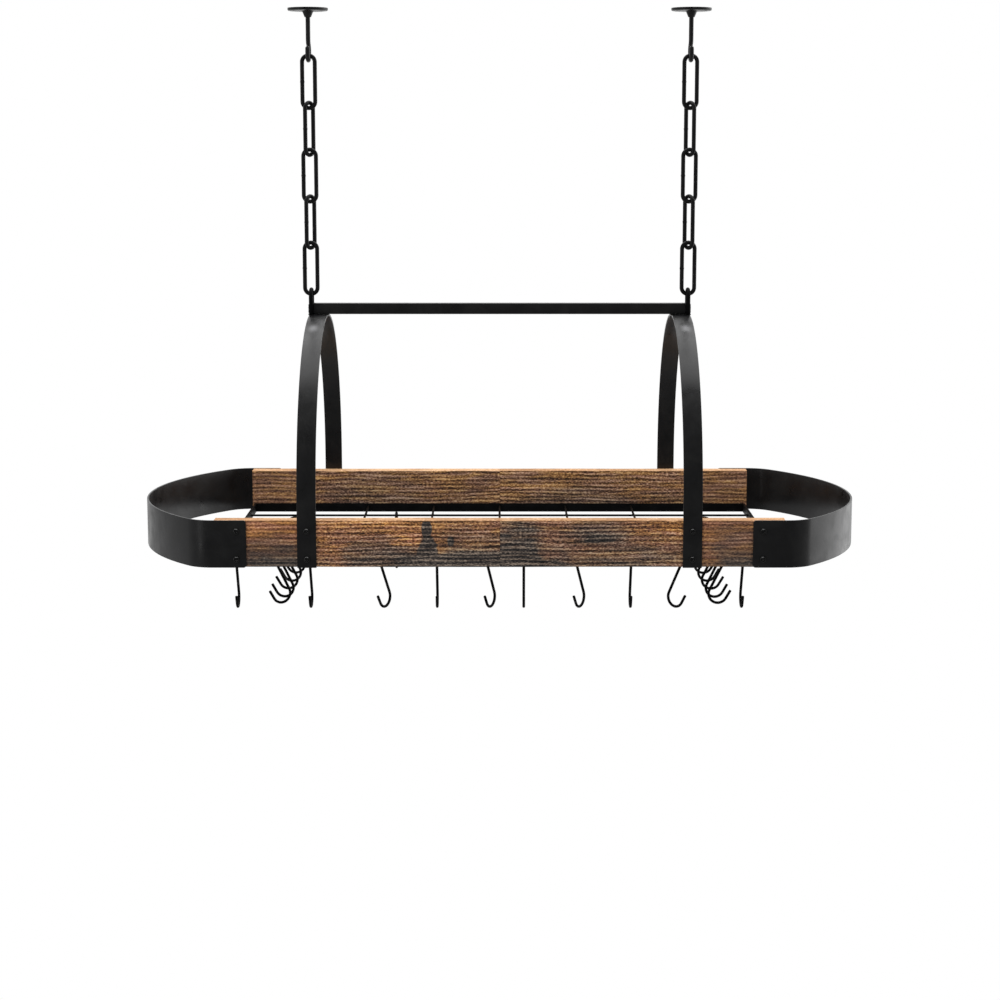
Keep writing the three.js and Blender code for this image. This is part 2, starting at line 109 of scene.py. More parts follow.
# Bends a round or flat bar as on a bending jig: moves are ("run", length, scale of the end) and
# ("bend", radius, angle, step), where the angle turns left about the normal.
def bendBar(name, section, start, heading, normal, moves, firstScale=1, sides=16, closed=False,
            smoothAngle=35):
    deselectAll()
    place, heading, normal = mm(*start), Vector(heading).normalized(), Vector(normal).normalized()
    turn = Matrix((normal.cross(heading), normal, heading)).transposed().to_euler()
    flat = len(section) == 3  # thickness, width and edge round, or only a diameter
    if flat:
        bpy.ops.mesh.primitive_plane_add(size=1, location=place, rotation=turn)
        bpy.context.object.scale = (mm(section[0]), mm(section[1]), 1)
    else:
        bpy.ops.mesh.primitive_circle_add(vertices=sides, radius=mm(section[0]) / 2, location=place,
                                          rotation=turn)
    piece = bpy.context.object
    piece.name = piece.data.name = name
    bpy.ops.object.transform_apply(location=True, rotation=True, scale=True)
    bpy.ops.object.mode_set(mode="EDIT")
    bpy.ops.mesh.select_all(action="SELECT")
    if flat:
        bpy.ops.mesh.bevel(offset=mm(section[2]), segments=3, affect="VERTICES")
        bpy.ops.mesh.select_all(action="SELECT")
        bpy.ops.mesh.delete(type="ONLY_FACE")
        bpy.ops.mesh.select_mode(type="VERT")
        bpy.ops.mesh.select_all(action="SELECT")
    scaleNow = 1

    def setScale(scale):
        nonlocal scaleNow
        if math.isclose(scale, scaleNow):
            return
        ratio = scale / scaleNow
        value = [1 + (ratio - 1) * abs(n) for n in normal] if flat else (ratio, ratio, ratio)
        bpy.ops.transform.resize(value=value, center_override=place)
        scaleNow = scale

    setScale(firstScale)
    for kind, amount, *rest in moves:
        if kind == "run":
            step = heading * mm(amount)
            bpy.ops.mesh.extrude_region_move(TRANSFORM_OT_translate={"value": step})
            place = place + step
            if rest:
                setScale(rest[0])
        else:
            angle, stepAngle = rest
            centre = place + normal.cross(heading) * mm(amount) * (1 if angle > 0 else -1)
            steps = max(1, round(abs(angle) / stepAngle))
            bpy.ops.mesh.spin(steps=steps, angle=-math.radians(angle), center=centre, axis=normal)
            turned = Matrix.Rotation(math.radians(angle), 3, normal)
            place = centre + turned @ (place - centre)
            heading = turned @ heading
    return closeShape(piece, merge=closed, smoothAngle=smoothAngle)


def roundedBox(name, size, middle, bevel):
    deselectAll()
    bpy.ops.mesh.primitive_cube_add(size=1, location=mm(*middle))
    piece = bpy.context.object
    piece.name = piece.data.name = name
    piece.scale = mm(*size)
    bpy.ops.object.transform_apply(location=True, rotation=True, scale=True)
    bpy.ops.object.mode_set(mode="EDIT")
    bpy.ops.mesh.select_all(action="SELECT")
    bpy.ops.mesh.bevel(offset=mm(bevel), segments=3, affect="EDGES")
    return closeShape(piece)


def copyPiece(source, name, place, turn):
    choose(source)
    bpy.ops.object.duplicate()
    piece = bpy.context.object
    piece.name = piece.data.name = name
    piece.rotation_euler = (0, 0, math.radians(turn))
    piece.location = mm(*place)
    bpy.ops.object.transform_apply(location=True, rotation=True, scale=True)
    return piece


def joinPieces(name, pieces):
    choose(*pieces)
    bpy.ops.object.join()
    piece = bpy.context.object
    piece.name = piece.data.name = name
    return piece


def cutAway(piece, cutter):
    cut = piece.modifiers.new("cut", "BOOLEAN")
    cut.operation = "DIFFERENCE"
    cut.solver = "EXACT"
    cut.object = cutter
    choose(piece)
    bpy.ops.object.modifier_apply(modifier="cut")
    bpy.data.objects.remove(cutter)


def handOver(piece, node, material):  # finish, body and the CAD node that a piece stands for
    piece.data.materials.clear()
    piece.data.materials.append(material)
    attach(piece, bodyOf[node])
    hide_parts(node)
    return piece


# Materials: nodes alone, with their patterns in millimetres.
def linear(hexColour):
    parts = [int(hexColour[i:i + 2], 16) / 255 for i in (1, 3, 5)]
    return (*[c / 12.92 if c <= 0.04045 else ((c + 0.055) / 1.055) ** 2.4 for c in parts], 1)


def addNode(tree, kind, settings=None, inputs=None, ramp=None):
    node = tree.nodes.new(kind)
    for key, value in (settings or {}).items():
        setattr(node, key, value)
    for key, value in (inputs or {}).items():
        if isinstance(value, bpy.types.NodeSocket):
            tree.links.new(value, node.inputs[key])
        else:
            node.inputs[key].default_value = value
    if ramp:
        elements = node.color_ramp.elements
        while len(elements) < len(ramp):
            elements.new(0.5)
        for element, (position, colour) in zip(elements, ramp):
            element.position = position
            element.color = linear(colour) if isinstance(colour, str) else (colour, colour, colour, 1)
    return node


def newMaterial(name):
    material = bpy.data.materials.new(name)
    material.use_nodes = True
    tree = material.node_tree
    tree.nodes.clear()
    coordinates = addNode(tree, "ShaderNodeTexCoord")
    inMillimetres = addNode(tree, "ShaderNodeVectorMath", {"operation": "SCALE"},
                            {0: coordinates.outputs["Object"], "Scale": 1000})
    return material, tree, inMillimetres.outputs[0]


def finishMaterial(tree, shader):
    addNode(tree, "ShaderNodeOutputMaterial", None, {"Surface": shader.outputs[0]})


# Side boards, each of two lengths butted together. Their wood takes some of these values too.
boards = {"length": 596, "height": 50, "thickness": 18.4, "bottom": -583.4, "middleY": 182.5,
          "edgeRound": 1.125, "rows": 44, "columns": 8, "step": 4,
          "jointX": 0.4, "jointDepth": 0.45, "jointReach": 0.3,
          "grooveDepth": 0.75, "groove": (95, 9, 3.6)}  # a groove's size along, across and up the board

# Each noise in the wood has its size along, across and up the board, then detail, roughness and distortion.
woodNoises = {"lift": (150, 40, 60, 2, 0.5, 0), "phase": (110, 40, 24, 2, 0.5, 0),
              "lines": (50, 20, 6, 1, 0.5, 0), "ridges": (40, 9, 2.6, 1, 0.5, 0.2),
              "flecks": (7, 3, 1.5, 2, 0.6, 0.2), "pores": (2.6, 2, 1.15, 1, 0.6, 0),
              "hue": (45, 30, 6, 3, 0.6, 0.4), "age": (60, 40, 13, 3, 0.6, 0.5),
              "ragged": (22, 20, 3.2, 4, 0.7, 0)}
woodValues = {"wander": 5.0, "relief": 0.5, "jointShift": 57.3, "phaseSwing": 12.0, "calmOver": 20,
              # depth and share of the paler upper face, part sanded wear and part painted highlight
              "paleTopDepth": 1.1, "paleTopShare": 0.9, "ridgeColour": "#46382b",
              "shares": {"lines": 0.10, "ridges": 0.26, "flecks": 0.28, "pores": 0.46},
              "paleRamp": [(0.40, "#a67a54"), (0.50, "#c9996e"), (0.60, "#e4bb90")],
              "agedRamp": [(0.38, "#151516"), (0.44, "#262424"), (0.50, "#3d3734"), (0.56, "#5b5149"),
                           (0.63, "#8a7c70")]}


# Reclaimed softwood, sawn, brushed and oiled: hard pale ridges of late wood stand over soft brown early
# wood, broken by short dark pores, and age has turned parts of it from golden to purple-brown and grey.
def reclaimedWood(name, values):
    values = {**woodValues, **values}
    topZ = boards["bottom"] + boards["height"]
    material, tree, place = newMaterial(name)

    def stretched(noiseName, source=None):
        x, y, z, detail, roughness, distortion = woodNoises[noiseName]
        scaled = addNode(tree, "ShaderNodeVectorMath", {"operation": "MULTIPLY"},
                         {0: source or place, 1: (1 / x, 1 / y, 1 / z)})
        moved = addNode(tree, "ShaderNodeVectorMath", {"operation": "ADD"},
                        {0: scaled.outputs[0], 1: values["seed"]})
        return addNode(tree, "ShaderNodeTexNoise", None,
                       {"Vector": moved.outputs[0], "Scale": 1.0, "Detail": detail, "Roughness": roughness,
                        "Distortion": distortion}).outputs["Fac"]

    def calculate(operation, *numbers):
        return addNode(tree, "ShaderNodeMath", {"operation": operation}, dict(enumerate(numbers))).outputs[0]

    split = addNode(tree, "ShaderNodeSeparateXYZ", None, {0: place})
    rightLength = calculate("GREATER_THAN", split.outputs["X"], boards["jointX"])
    # the lines rise and fall slowly along the board, and start anew at the butt joint
    lift = calculate("MULTIPLY_ADD", stretched("lift"), values["wander"],
                     calculate("MULTIPLY", rightLength, values["jointShift"]))
    liftVector = addNode(tree, "ShaderNodeCombineXYZ", None, {"Z": lift})
    waved = addNode(tree, "ShaderNodeVectorMath", {"operation": "ADD"},
                    {0: place, 1: liftVector.outputs[0]}).outputs[0]

    height = addNode(tree, "ShaderNodeSeparateXYZ", None, {0: waved}).outputs["Z"]
    phase = calculate("MULTIPLY_ADD", stretched("phase"), values["phaseSwing"],
                      calculate("MULTIPLY", height, 2 * math.pi / values["linePitch"]))
    layers = {"lines": calculate("MULTIPLY", calculate("SINE", phase), stretched("lines"))}
    for layer in ("ridges", "flecks", "pores"):
        layers[layer] = stretched(layer, waved)
    tone = -0.5
    for layer, share in values["shares"].items():
        tone = calculate("MULTIPLY_ADD", layers[layer], share, tone)
    # the ends were sanded smoother than the middle
    contrast = addNode(tree, "ShaderNodeMapRange", None,
                       {"Value": calculate("ABSOLUTE", split.outputs["X"]), "From Min": values["calmFrom"],
                        "From Max": values["calmFrom"] + values["calmOver"], "To Min": 1.0,
                        "To Max": values["calmContrast"]}).outputs[0]
    tone = calculate("MULTIPLY_ADD", tone, contrast, 0.5)
    golden, rosy, aged, pale = [
        addNode(tree, "ShaderNodeValToRGB", None, {"Fac": tone}, values[ramp]).outputs["Color"]
        for ramp in ("goldenRamp", "rosyRamp", "agedRamp", "paleRamp")]
    hue = addNode(tree, "ShaderNodeMapRange", None,
                  {"Value": stretched("hue", waved), "From Min": 0.42, "From Max": 0.58})
    fresh = addNode(tree, "ShaderNodeMix", {"data_type": "RGBA"},
                    {0: hue.outputs[0], 6: golden, 7: rosy}).outputs[2]

    # age: 0 is golden, 1 is grey-black, more of it low on the board and in the stains
    low = addNode(tree, "ShaderNodeMapRange", None,
                  {"Value": split.outputs["Z"], "From Min": topZ, "From Max": boards["bottom"],
                   "To Min": 0.0, "To Max": values["lowAge"]}).outputs[0]
    age = calculate("MULTIPLY_ADD", stretched("age"), values["cloudAge"],
                    calculate("ADD", low, values["age"] - values["cloudAge"] / 2))
    ragged = stretched("ragged")
    for stain in values["stains"]:
        centred = addNode(tree, "ShaderNodeMapping", {"vector_type": "TEXTURE"},
                          {"Vector": place, "Location": (stain["x"], 0, stain["z"]),
                           "Scale": (stain["wide"] / 2, 100000, stain["high"] / 2)})
        distance = addNode(tree, "ShaderNodeVectorMath", {"operation": "LENGTH"}, {0: centred.outputs[0]})
        rough = calculate("MULTIPLY_ADD", ragged, stain["rag"], distance.outputs["Value"])
        middle = 1 + stain["rag"] / 2
        mask = addNode(tree, "ShaderNodeMapRange", {"interpolation_type": "SMOOTHSTEP"},
                       {"Value": rough, "From Min": middle + stain["fade"],
                        "From Max": middle - stain["fade"], "To Min": 0.0, "To Max": stain["age"]}).outputs[0]
        if "side" in stain:  # this stain ends at the butt joint
            here = rightLength if stain["side"] > 0 else calculate("SUBTRACT", 1.0, rightLength)
            mask = calculate("MULTIPLY", mask, here)
        age = calculate("ADD", age, mask)
    colour = addNode(tree, "ShaderNodeMix", {"data_type": "RGBA", "clamp_factor": True},
                     {0: age, 6: fresh, 7: aged}).outputs[2]
    # thin pale ridges along the saw lines, over fresh and aged wood alike
    ridge = addNode(tree, "ShaderNodeMapRange", {"interpolation_type": "SMOOTHSTEP"},
                    {"Value": layers["lines"], "From Min": 0.25, "From Max": 0.55, "To Min": 0.0,
                     "To Max": values["ridgeShare"]})
    colour = addNode(tree, "ShaderNodeMix", {"data_type": "RGBA", "blend_type": "ADD"},
                     {0: ridge.outputs[0], 6: colour, 7: linear(values["ridgeColour"])}).outputs[2]

    # the upper face and its edges are paler: partly sanded wear, partly a painted highlight where the top
    # catches the overhead light
    wearAndPaintedHighlight = addNode(tree, "ShaderNodeMapRange", {"interpolation_type": "SMOOTHSTEP"},
                     {"Value": calculate("MULTIPLY_ADD", layers["flecks"], 1.2, split.outputs["Z"]),
                      "From Min": topZ - values["paleTopDepth"], "From Max": topZ + 0.1,
                      "To Min": 0.0, "To Max": values["paleTopShare"]}).outputs[0]
    colour = addNode(tree, "ShaderNodeMix", {"data_type": "RGBA"}, {0: wearAndPaintedHighlight, 6: colour, 7: pale}).outputs[2]

    bump = addNode(tree, "ShaderNodeBump", None,
                   {"Height": tone, "Strength": 0.6, "Distance": mm(values["relief"])})
    dry = addNode(tree, "ShaderNodeMapRange", None,
                  {"Value": tone, "From Min": 0.4, "From Max": 0.6, "To Min": 0.85, "To Max": 0.6})
    shader = addNode(tree, "ShaderNodeBsdfPrincipled", None,
                     {"Base Color": colour, "Roughness": dry.outputs[0], "IOR": 1.45,
                      "Specular IOR Level": 0.3, "Normal": bump.outputs[0]})
    finishMaterial(tree, shader)
    return material


# Black coating on steel: a fine orange peel, and soft streaks of more and less gloss where it was rubbed.
def blackCoating(name, values):
    material, tree, place = newMaterial(name)
    peel = addNode(tree, "ShaderNodeTexNoise", None,
                   {"Vector": place, "Scale": 1 / values["peelSize"], "Detail": 3, "Roughness": 0.55})
    cloud = addNode(tree, "ShaderNodeTexNoise", None,
                    {"Vector": place, "Scale": 1 / values["cloudSize"], "Detail": 5, "Roughness": 0.62,
                     "Distortion": 0.4})
    colour = addNode(tree, "ShaderNodeValToRGB", None, {"Fac": cloud.outputs["Fac"]},
                     values["colours"]).outputs["Color"]
    gloss = addNode(tree, "ShaderNodeMapRange", None,
                    {"Value": cloud.outputs["Fac"], "From Min": 0.3, "From Max": 0.7,
                     "To Min": values["roughness"][0], "To Max": values["roughness"][1]})
    bump = addNode(tree, "ShaderNodeBump", None,
                   {"Height": peel.outputs["Fac"], "Strength": values["peelStrength"],
                    "Distance": mm(values["peelDepth"])})
    if "mark" in values:  # a painted highlight on the front shoulder of each arch: a soft pale grey spot standing in for a lamp's reflection, with a slight dent in the bump, mirrored left and right
        mark = values["mark"]
        split = addNode(tree, "ShaderNodeSeparateXYZ", None, {0: place})
        sideways = addNode(tree, "ShaderNodeMath", {"operation": "ABSOLUTE"}, {0: split.outputs["X"]})
        mirrored = addNode(tree, "ShaderNodeCombineXYZ", None,
                           {"X": sideways.outputs[0], "Y": split.outputs["Y"], "Z": split.outputs["Z"]})
        centred = addNode(tree, "ShaderNodeMapping", {"vector_type": "TEXTURE"},
                          {"Vector": mirrored.outputs[0], "Location": mark["at"],
                           "Rotation": (math.radians(mark["slope"]), 0, 0), "Scale": mark["reach"]})
        apart = addNode(tree, "ShaderNodeVectorMath", {"operation": "LENGTH"}, {0: centred.outputs[0]})
        wearAndPaintedHighlight = addNode(tree, "ShaderNodeMapRange", {"interpolation_type": "SMOOTHSTEP"},
                         {"Value": apart.outputs["Value"], "From Min": 1.0, "From Max": 0.0})
        # painted highlight: the pale grey is mixed into the colour inside the spot
        colour = addNode(tree, "ShaderNodeMix", {"data_type": "RGBA"},
                         {0: wearAndPaintedHighlight.outputs[0], 6: colour, 7: linear(mark["colour"])}).outputs[2]
        bump = addNode(tree, "ShaderNodeBump", None,
                       {"Height": wearAndPaintedHighlight.outputs[0], "Distance": mm(mark["height"]),
                        "Normal": bump.outputs[0]})
    shader = addNode(tree, "ShaderNodeBsdfPrincipled", None,
                     {"Base Color": colour, "Metallic": 0.0, "Roughness": gloss.outputs[0],
                      "IOR": values["ior"], "Specular IOR Level": values["specular"],
                      "Normal": bump.outputs[0]})
    finishMaterial(tree, shader)
    return material


# Stains: middle, width and height, ragged edge, soft edge, added age and, where one ends at the butt joint,
# the side that has it.
frontWood = reclaimedWood("reclaimedFirFront", {
    "seed": (3.1, 1.7, 8.3), "linePitch": 4.5, "calmFrom": 192, "calmContrast": 0.6, "ridgeShare": 0.8,
    "lowAge": 0.6, "age": 0.02, "cloudAge": 1.1,
    "goldenRamp": [(0.38, "#372316"), (0.44, "#6a4426"), (0.50, "#9f6b3c"), (0.56, "#cc8e4d"),
                   (0.63, "#f4c47c")],
    "rosyRamp": [(0.38, "#321f17"), (0.44, "#5f3b2a"), (0.50, "#8d5b42"), (0.56, "#b67f5f"),
                 (0.63, "#dfb08d")],
    "stains": [
        {"x": -236, "z": -574, "wide": 70, "high": 46, "rag": 0.8, "fade": 0.35, "age": 0.45},
        {"x": -122, "z": -570, "wide": 84, "high": 40, "rag": 0.9, "fade": 0.12, "age": 0.4},
        {"x": -75, "z": -576, "wide": 22, "high": 54, "rag": 0.5, "fade": 0.10, "age": 0.8},
        {"x": -76, "z": -543, "wide": 11, "high": 20, "rag": 0.4, "fade": 0.10, "age": 1.0},
        {"x": -26, "z": -552, "wide": 78, "high": 90, "rag": 0.6, "fade": 0.4, "age": 0.33, "side": -1},
        {"x": -98, "z": -557, "wide": 34, "high": 8, "rag": 0.8, "fade": 0.2, "age": -0.45},
        {"x": -32, "z": -580, "wide": 120, "high": 24, "rag": 0.8, "fade": 0.3, "age": 0.5, "side": -1},
        {"x": -51, "z": -556, "wide": 7, "high": 10, "rag": 0.4, "fade": 0.2, "age": 0.5},
        {"x": 6, "z": -560, "wide": 70, "high": 96, "rag": 0.7, "fade": 0.35, "age": 0.5, "side": 1},
        {"x": 90, "z": -560, "wide": 190, "high": 90, "rag": 0.8, "fade": 0.5, "age": 0.3, "side": 1},
        {"x": 104, "z": -544, "wide": 66, "high": 26, "rag": 0.8, "fade": 0.4, "age": 0.4},
        {"x": 252, "z": -558, "wide": 60, "high": 70, "rag": 0.8, "fade": 0.3, "age": 0.4},
    ]})
backWood = reclaimedWood("reclaimedFirBack", {
    "seed": (7.9, 4.2, 2.6), "linePitch": 4.6, "calmFrom": 230, "calmContrast": 0.7, "ridgeShare": 0.6,
    "lowAge": 0.25, "age": 0.12, "cloudAge": 0.9,
    "goldenRamp": [(0.38, "#2f2116"), (0.44, "#593d25"), (0.50, "#875e37"), (0.56, "#b0804b"),
                   (0.63, "#d9b075")],
    "rosyRamp": [(0.38, "#2a1c16"), (0.44, "#503628"), (0.50, "#7a5541"), (0.56, "#a0765b"),
                 (0.63, "#c8a184")],
    "stains": [
        {"x": -150, "z": -560, "wide": 110, "high": 50, "rag": 0.8, "fade": 0.3, "age": 0.3},
        {"x": 90, "z": -572, "wide": 130, "high": 36, "rag": 0.8, "fade": 0.3, "age": 0.35},
    ]})
# Powder coat on the bent flat bar: nearly black from the front, with a soft grey shine at a flat angle.
blackSteel = blackCoating("satinBlackPowderCoat", {
    "peelSize": 1.1, "peelDepth": 0.05, "peelStrength": 0.3, "cloudSize": 22, "roughness": (0.26, 0.42),
    "colours": [(0.3, "#0d0d0e"), (0.5, "#121213"), (0.72, "#181818")], "ior": 1.45, "specular": 0.5,
    # painted highlight: a pale grey spot on each arch's front shoulder, standing in for a lamp's reflection
    "mark": {"at": (202, -64, -343.4), "reach": (7.2, 15, 2.2), "slope": 18.2, "height": 0.3,
             "colour": "#6a6a6c"}})
# Dull black enamel dipped over thin round wire: hardly any shine, so grid and hooks read as black.
blackWire = blackCoating("dullBlackEnamelWire", {
    "peelSize": 1.6, "peelDepth": 0.03, "peelStrength": 0.25, "cloudSize": 14, "roughness": (0.45, 0.6),
    "colours": [(0.3, "#070708"), (0.5, "#09090a"), (0.7, "#0e0e0f")], "ior": 1.45, "specular": 0.08})
# Black enamel on the heavier chain: a low sheen that lights up the tops of the bends.
blackChain = blackCoating("lowSheenBlackEnamelChain", {
    "peelSize": 1.8, "peelDepth": 0.04, "peelStrength": 0.3, "cloudSize": 12, "roughness": (0.3, 0.42),
    "colours": [(0.3, "#0c0c0d"), (0.5, "#101011"), (0.7, "#171717")], "ior": 1.45, "specular": 0.28})
# Black oxide on the screws.
blackScrew = blackCoating("blackOxideScrew", {
    "peelSize": 0.6, "peelDepth": 0.02, "peelStrength": 0.2, "cloudSize": 4, "roughness": (0.1, 0.16),
    "colours": [(0.3, "#020202"), (0.5, "#030303"), (0.7, "#060606")], "ior": 1.5, "specular": 0.5})
print("materials made")


def makeBoard(name, side, seed):
    middle = mm(0, side * boards["middleY"], boards["bottom"] + boards["height"] / 2)
    deselectAll()
    bpy.ops.mesh.primitive_plane_add(size=1, rotation=(0, math.pi / 2, 0),
                                     location=middle - mm(boards["length"] / 2, 0, 0))
    board = bpy.context.object
    board.name = board.data.name = name
    board.scale = mm(boards["height"], boards["thickness"], 1000)
    bpy.ops.object.transform_apply(location=True, rotation=True, scale=True)
    pick(board, "EDGE", lambda point, along: abs(along.z) > 0.9)
    bpy.ops.mesh.subdivide(number_cuts=boards["rows"])
    pick(board, "EDGE", lambda point, along: abs(along.y) > 0.9)
    bpy.ops.mesh.subdivide(number_cuts=boards["columns"])
    halfThickness = mm(boards["thickness"]) / 2 - nearly
    halfHeight = mm(boards["height"]) / 2 - nearly
    pick(board, "VERT", lambda co: abs(co.y - middle.y) > halfThickness and abs(co.z - middle.z) > halfHeight)
    bpy.ops.mesh.bevel(offset=mm(boards["edgeRound"]), segments=3, affect="VERTICES")
    pick(board, "VERT", lambda co: abs(co.y - middle.y) < halfThickness - mm(boards["edgeRound"])
         and abs(co.z - middle.z) < halfHeight)
    bpy.ops.mesh.delete(type="VERT")  # only the outline is drawn out
    bpy.ops.mesh.select_all(action="SELECT")
    bpy.ops.mesh.extrude_repeat(steps=round(boards["length"] / boards["step"]),
                                offset=mm(boards["step"], 0, 0))
    for side in (-1, 0, 1):  # the butt joint of its two lengths
        bpy.ops.mesh.select_all(action="SELECT")
        bpy.ops.mesh.bisect(plane_co=mm(boards["jointX"] + side * boards["jointReach"], 0, 0),
                            plane_no=(1, 0, 0))
    pick(board, "VERT", lambda co: abs(co.x - mm(boards["jointX"])) < nearly)
    shrink = [1 - 2 * boards["jointDepth"] / boards[way] for way in ("thickness", "height")]
    bpy.ops.transform.resize(value=(1, *shrink), center_override=middle)
    closeShape(board, smoothAngle=50)

    texture = bpy.data.textures.new("sawGrooves", "CLOUDS")  # worn grooves, only ever inwards
    texture.noise_scale = 1
    texture.noise_depth = 3
    guide = bpy.data.objects.new("grooveGuide", None)
    bpy.context.scene.collection.objects.link(guide)
    guide.location = mm(*seed)
    guide.scale = mm(*boards["groove"])
    bpy.context.view_layer.update()
    worn = board.modifiers.new("worn", "DISPLACE")
    worn.texture = texture
    worn.texture_coords = "OBJECT"
    worn.texture_coords_object = guide
    worn.mid_level = 1
    worn.strength = mm(boards["grooveDepth"])
    choose(board)
    bpy.ops.object.modifier_apply(modifier="worn")
    bpy.data.objects.remove(guide)
    return board


handOver(makeBoard("boardFront", -1, (31, 7, 2)), "board_front", frontWood)
handOver(makeBoard("boardBack", 1, (-57, 21, 9)), "board_back", backWood)
print("boards made")


# End straps: flat bar bent round two tight corners and one wide bow.
straps = {"thickness": 2, "outerY": 194, "endX": 264, "cornerX": 299.2, "cornerRadius": 35.5,
          "bowRadius": 278, "tipRound": 3, "tipSteps": 5, "edgeRound": 0.45, "middleZ": -558.4, "height": 50,
          "cornerStep": 4, "bowStep": 2}


def makeStrap(name, side):
    half = straps["thickness"] / 2
    middleY = straps["outerY"] - half
    cornerY = straps["outerY"] - straps["cornerRadius"]
    reach = straps["bowRadius"] - straps["cornerRadius"]
    turn = math.degrees(math.asin(cornerY / reach))
    tipRound, tipSteps = straps["tipRound"], straps["tipSteps"]
    advance = tipRound / tipSteps
    tip = []
    for i in range(1, tipSteps + 1):  # the rounded corners of the free end
        drop = tipRound - math.sqrt(tipRound ** 2 - (tipRound - i * advance) ** 2)
        tip.append(1 - 2 * drop / straps["height"])
    first = 1 - 2 * tipRound / straps["height"]
    run = straps["cornerX"] - straps["endX"] - tipRound
    corner = ("bend", straps["cornerRadius"] - half, side * (90 - turn), straps["cornerStep"])
    bow = ("bend", straps["bowRadius"] - half, side * 2 * turn, straps["bowStep"])
    moves = [("run", advance, scale) for scale in tip]
    moves += [("run", run), corner, bow, corner, ("run", run)]
    moves += [("run", advance, scale) for scale in [*tip[-2::-1], first]]
    return bendBar(name, (straps["thickness"], straps["height"], straps["edgeRound"]),
                   (side * straps["endX"], -middleY, straps["middleZ"]), (side, 0, 0), (0, 0, 1), moves,
                   firstScale=first)


for sideName, side in (("left", -1), ("right", 1)):
    strap = makeStrap("endStrap" + sideName.title(), side)
    handOver(strap, "end_strap_" + sideName, blackSteel)
print("end straps made")


# Arches: flat bar up over the rack, flattened above the boards.
arches = {"x": 201, "width": 20, "thickness": 2.5, "outerY": 194.5, "footZ": -583.4, "springZ": -521.4,
          "rise": 188.5, "edgeRound": 0.5, "step": 2.5}


def makeArch(name, x):
    middleY = arches["outerY"] - arches["thickness"] / 2
    foot = arches["springZ"] - arches["footZ"]
    arch = bendBar(name, (arches["thickness"], arches["width"], arches["edgeRound"]),
                   (x, -middleY, arches["footZ"]), (0, 0, 1), (1, 0, 0),
                   [("run", foot), ("bend", middleY, -180, arches["step"]), ("run", foot)])
    spring = mm(arches["springZ"])
    pick(arch, "VERT", lambda co: co.z > spring + nearly)
    bpy.ops.transform.resize(value=(1, 1, arches["rise"] / arches["outerY"]), center_override=(0, 0, spring))
    bpy.ops.object.mode_set(mode="OBJECT")
    return arch


# Weld beads: short, with the ripple of the hand that laid them.
beads = {"start": (0.3, 0.7), "end": (0.4, 0.45), "first": 0.4,  # (run, scale of its end)
         "ripple": 1.4, "crest": (0.55, 1), "trough": (0.45, 0.86), "wander": 0.08, "wanderStep": 2.1}


def makeBead(name, start, heading, length, size):
    normal = (0, 0, 1) if abs(heading[2]) < 0.5 else (1, 0, 0)
    ripples = round(length / beads["ripple"])
    advance = length / ripples
    crest, trough = beads["crest"], beads["trough"]
    moves = [("run", *beads["start"])]
    for i in range(ripples):
        wander = beads["wander"] * math.sin(i * beads["wanderStep"])
        moves += [("run", advance * crest[0], crest[1] + wander), ("run", advance * trough[0], trough[1])]
    moves += [("run", *beads["end"])]
    return bendBar(name, (size,), start, heading, normal, moves, firstScale=beads["first"], sides=10,
                   smoothAngle=60)


# Square bar across the tops of the arches.
bar = {"size": 12, "length": 422.6, "top": -320.6, "edgeRound": 0.7, "bead": 2.6, "beadLength": 9,
       "beadOut": 0.2, "beadDrop": 0.5}
barBottom = bar["top"] - bar["size"]
for sideName, side in (("left", -1), ("right", 1)):
    arch = makeArch("arch" + sideName.title(), side * arches["x"])
    welds = []
    for edge in (-1, 1):  # under the bar, along both edges of the arch
        beadX = side * arches["x"] + edge * (arches["width"] / 2 + bar["beadOut"])
        welds.append(makeBead("archBead", (beadX, -bar["beadLength"] / 2, barBottom - bar["beadDrop"]),
                              (0, 1, 0), bar["beadLength"], bar["bead"]))
    arch = joinPieces("arch" + sideName.title(), [*welds, arch])
    handOver(arch, "arch_" + sideName, blackSteel)

topBar = roundedBox("topBar", (bar["length"], bar["size"], bar["size"]),
                    (0, 0, bar["top"] - bar["size"] / 2), bar["edgeRound"])
handOver(topBar, "top_bar", blackSteel)
print("arches and bar made")


# Eyes bent over the ends of the bar.
eyes = {"x": 209, "wire": 4.6, "bendRadius": 8.6, "bendZ": -314.2, "step": 7.5, "endRun": 0.5,
        "endScale": 0.85, "bead": 2.4, "beadLength": 9.5, "beadX": 1.9, "beadOut": 0.5, "beadUp": 1}


def makeEye(name, x):
    endRun, endScale = eyes["endRun"], eyes["endScale"]
    leg = ("run", eyes["bendZ"] - barBottom - endRun)
    eye = bendBar(name, (eyes["wire"],), (x, -eyes["bendRadius"], barBottom), (0, 0, 1), (1, 0, 0),
                  [("run", endRun, 1), leg, ("bend", eyes["bendRadius"], -180, eyes["step"]), leg,
                   ("run", endRun, endScale)], firstScale=endScale, sides=20)
    beadY = bar["size"] / 2 + eyes["beadOut"]
    welds = [makeBead("eyeBead", (x + edge * eyes["beadX"], front * beadY, barBottom + eyes["beadUp"]),
                      (0, 0, 1), eyes["beadLength"], eyes["bead"]) for edge in (-1, 1) for front in (-1, 1)]
    return joinPieces(name, [*welds, eye])


for sideName, side in (("left", -1), ("right", 1)):
    handOver(makeEye("eye" + sideName.title(), side * eyes["x"]), "eye_" + sideName, blackWire)


# Chain: every second link is turned, and each has the bulge of its weld.
chain = {"x": 209, "wire": 4.6, "bendRadius": 6.95, "straight": 42.7, "firstZ": -79.0, "pitch": 50.8,
         "count": 5, "twist": 56, "step": 7.5,
         "weld": [(0.7, 1.05), (0.5, 1.11), (0.5, 1.12), (0.5, 1.05), (0.7, 1)]}  # (run, scale of its end)


